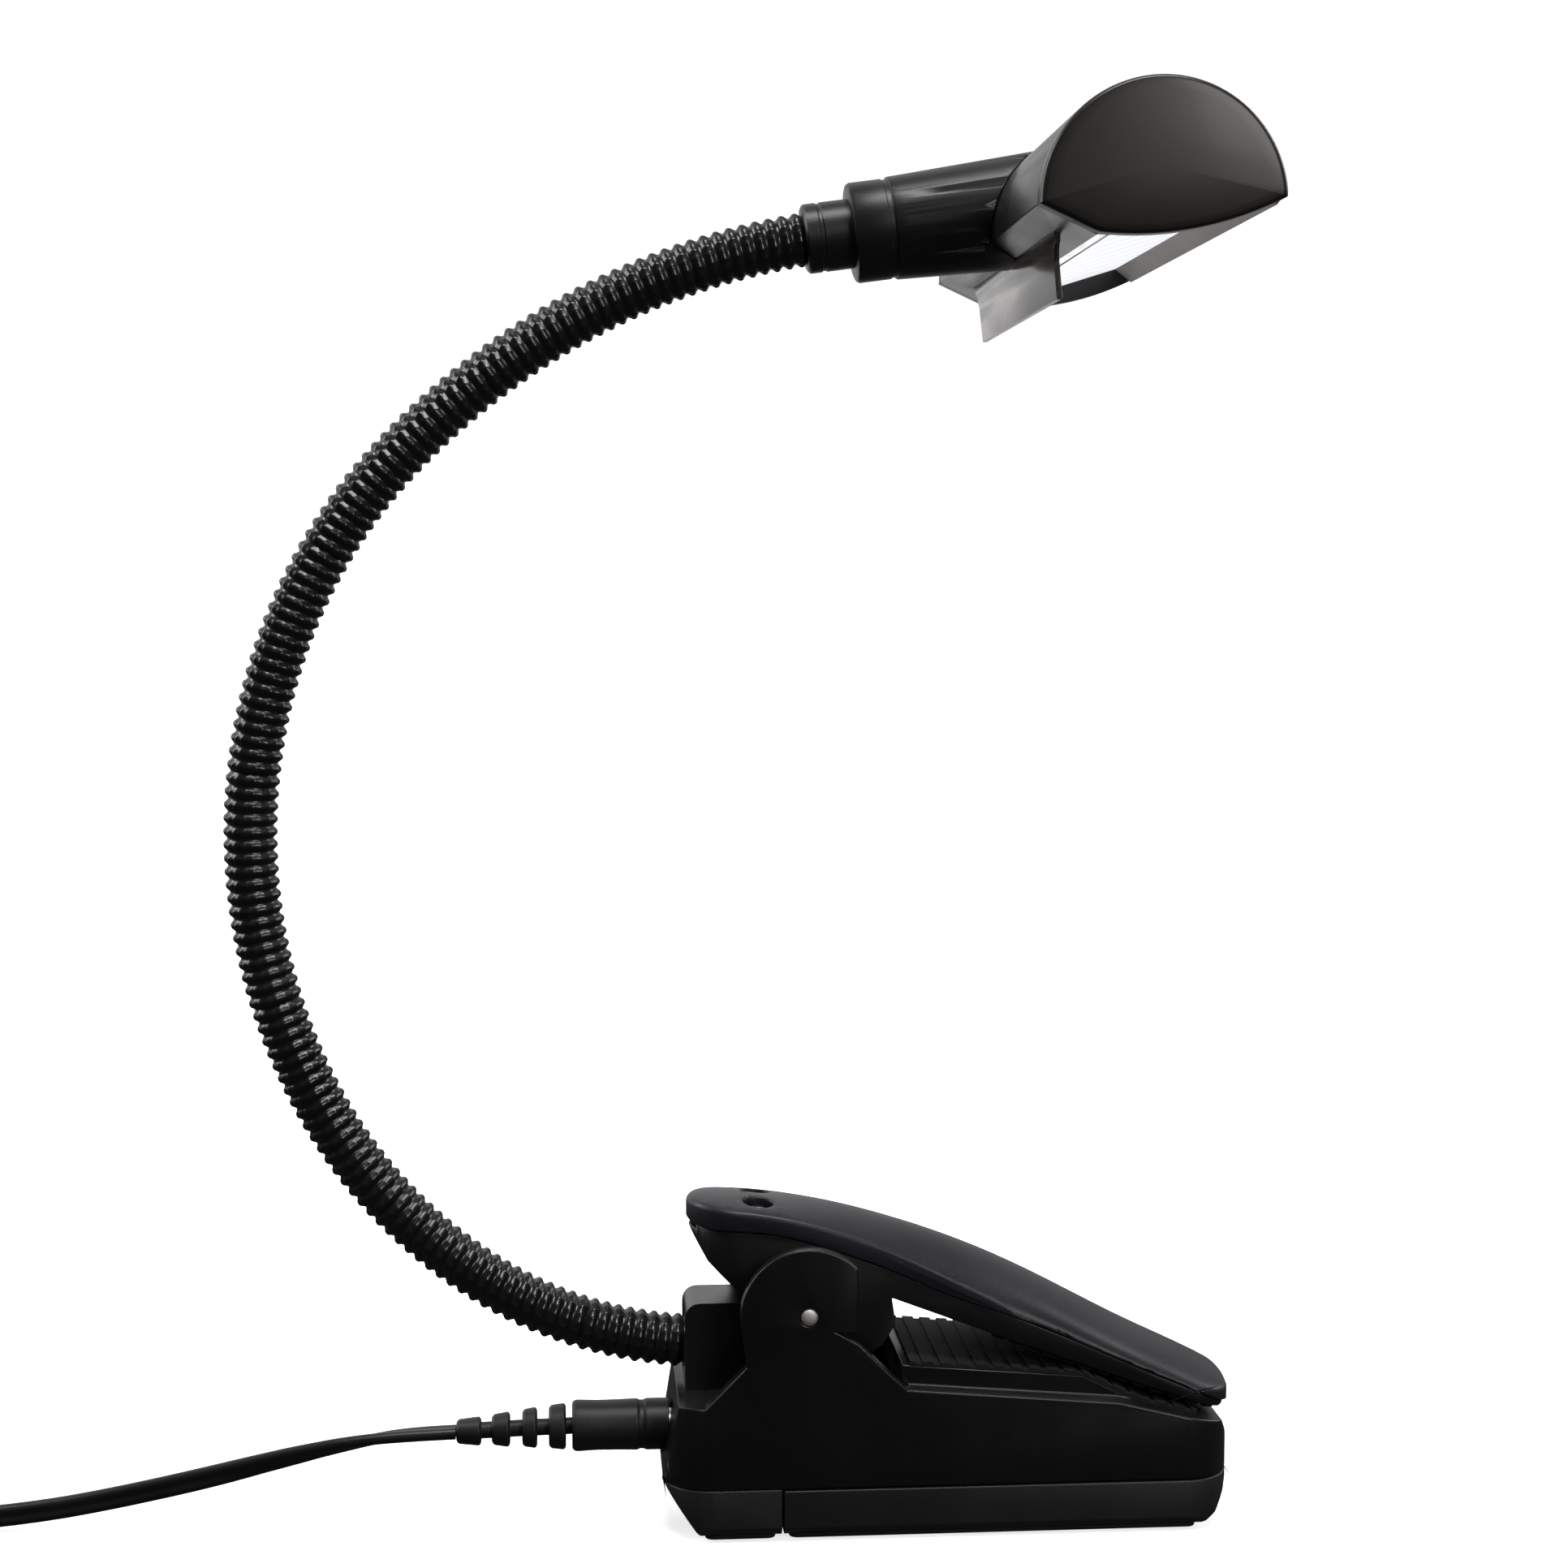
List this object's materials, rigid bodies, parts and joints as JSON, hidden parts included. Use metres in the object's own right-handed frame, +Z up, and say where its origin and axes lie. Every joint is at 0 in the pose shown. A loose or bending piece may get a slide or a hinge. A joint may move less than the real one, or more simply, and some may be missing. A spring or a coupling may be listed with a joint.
{
  "type": "clip on reading lamp",
  "caption": "Clip-on reading lamp: sprung clip base for AAA cells with a mains lead, bendable neck and an LED bar head with a smoked glare shield.",
  "frame": {"origin": "centre of the foot's bottom face, where the lamp stands", "axes": "+Z up, +X towards the clip's nose, Y across the clip and along the head bar"},
  "size_m": [0.3834, 0.12, 0.2482],
  "materials": {
    "housing": "satin moulded black",
    "rubber": "matte",
    "inner_plastic": "matte",
    "cell_jacket": "printed sleeve, plain",
    "steel": "bright",
    "circuit_board": "solder mask",
    "switch_plastic": "ribbed",
    "lever_plastic": "satin, faintly blue black",
    "arm_plastic": "matte",
    "neck_sleeve": "ribbed, glossy crests",
    "barrel_plastic": "satin",
    "head_plastic": "satin",
    "cap_gloss": "gloss, warm black",
    "diffuser_white": "translucent white",
    "bezel_grey": "satin grey",
    "smoked_clear": "smoked clear acrylic",
    "led_yellow": "phosphor",
    "white_plastic": "white reflector",
    "cord_vinyl": "satin vinyl",
    "tie_vinyl": "satin",
    "adapter_plastic": "fine spark texture",
    "brass_blades": "nickel plated"
  },
  "bodies": {
    "base": {"upper_housing": "housing", "rear_cover": "housing", "rear_foot_pad": "rubber", "battery_cradle": "inner_plastic", "aaa_cell_1": "cell_jacket", "aaa_cell_2": "cell_jacket", "aaa_cell_3": "cell_jacket", "rear_contacts": "steel", "front_contacts": "steel", "contact_springs": "steel", "driver_board": "circuit_board", "board_components": "inner_plastic", "switch_body": "inner_plastic", "power_inlet": "inner_plastic", "cover_screws": "steel", "lower_jaw_pad": "rubber", "pivot_pin": "steel", "torsion_spring": "steel", "neck_socket": "arm_plastic", "neck_sleeve_1": "neck_sleeve", "dc_plug_handle": "cord_vinyl", "dc_plug_barrel": "steel", "strain_relief": "cord_vinyl", "power_cord": "cord_vinyl", "cord_tail": "cord_vinyl", "cord_coil": "cord_vinyl", "cord_ties": "tie_vinyl", "adapter_body": "adapter_plastic", "adapter_relief": "cord_vinyl", "adapter_blades": "brass_blades"},
    "battery_door": {"battery_door": "housing", "front_foot_pad": "rubber"},
    "switch": {"switch_knob": "switch_plastic"},
    "lever": {"lever_cover": "lever_plastic", "lever_arm": "arm_plastic", "lever_screws": "steel", "upper_jaw_pad": "rubber"},
    "neck_2": {"neck_sleeve_2": "neck_sleeve"},
    "neck_3": {"neck_sleeve_3": "neck_sleeve"},
    "neck_4": {"neck_sleeve_4": "neck_sleeve"},
    "neck_5": {"neck_sleeve_5": "neck_sleeve"},
    "neck_6": {"neck_sleeve_6": "neck_sleeve"},
    "head": {"neck_sleeve_7": "neck_sleeve", "neck_collar": "barrel_plastic", "barrel_ring": "barrel_plastic", "head_barrel": "barrel_plastic", "head_shell": "head_plastic", "end_cap_left": "cap_gloss", "end_cap_right": "cap_gloss", "diffuser": "diffuser_white", "window_bezel": "bezel_grey", "glare_shield": "smoked_clear", "led_board": "circuit_board", "leds": "led_yellow", "reflector": "white_plastic"}
  },
  "joints": [
    {"name": "lever_hinge", "type": "hinge", "parent": "base", "child": "lever", "pos_m": [-0.0253, 0, 0.0401], "axis": [0, -1, 0], "range_deg": [0, 16], "stiffness_Nm_per_rad": 0.9, "springref_deg": -20.05, "deforming": ["torsion_spring"]},
    {"name": "door_slide", "type": "slide", "parent": "base", "child": "battery_door", "axis": [1, 0, 0], "range_m": [0, 0.09]},
    {"name": "power_switch", "type": "slide", "parent": "base", "child": "switch", "axis": [1, 0, 0], "range_m": [0, 0.0042]},
    {"name": "neck_bend_1", "type": "hinge", "parent": "base", "child": "neck_2", "pos_m": [-0.08348, 0, 0.04437], "axis": [0, 1, 0], "range_deg": [-25, 12]},
    {"name": "neck_sway_1", "type": "hinge", "parent": "neck_2", "child": "neck_3", "pos_m": [-0.111, 0, 0.07497], "axis": [-0.8804, 0, -0.4742], "range_deg": [-25, 25]},
    {"name": "neck_bend_2", "type": "hinge", "parent": "neck_3", "child": "neck_4", "pos_m": [-0.12278, 0, 0.1145], "axis": [0, 1, 0], "range_deg": [-25, 12]},
    {"name": "neck_bend_3", "type": "hinge", "parent": "neck_4", "child": "neck_5", "pos_m": [-0.11793, 0, 0.15548], "axis": [0, 1, 0], "range_deg": [-25, 12]},
    {"name": "neck_sway_2", "type": "hinge", "parent": "neck_5", "child": "neck_6", "pos_m": [-0.09674, 0, 0.19082], "axis": [-0.725, 0, 0.6887], "range_deg": [-25, 25]},
    {"name": "neck_bend_4", "type": "hinge", "parent": "neck_6", "child": "head", "pos_m": [-0.06386, 0, 0.21593], "axis": [0, 1, 0], "range_deg": [-25, 12]}
  ]
}
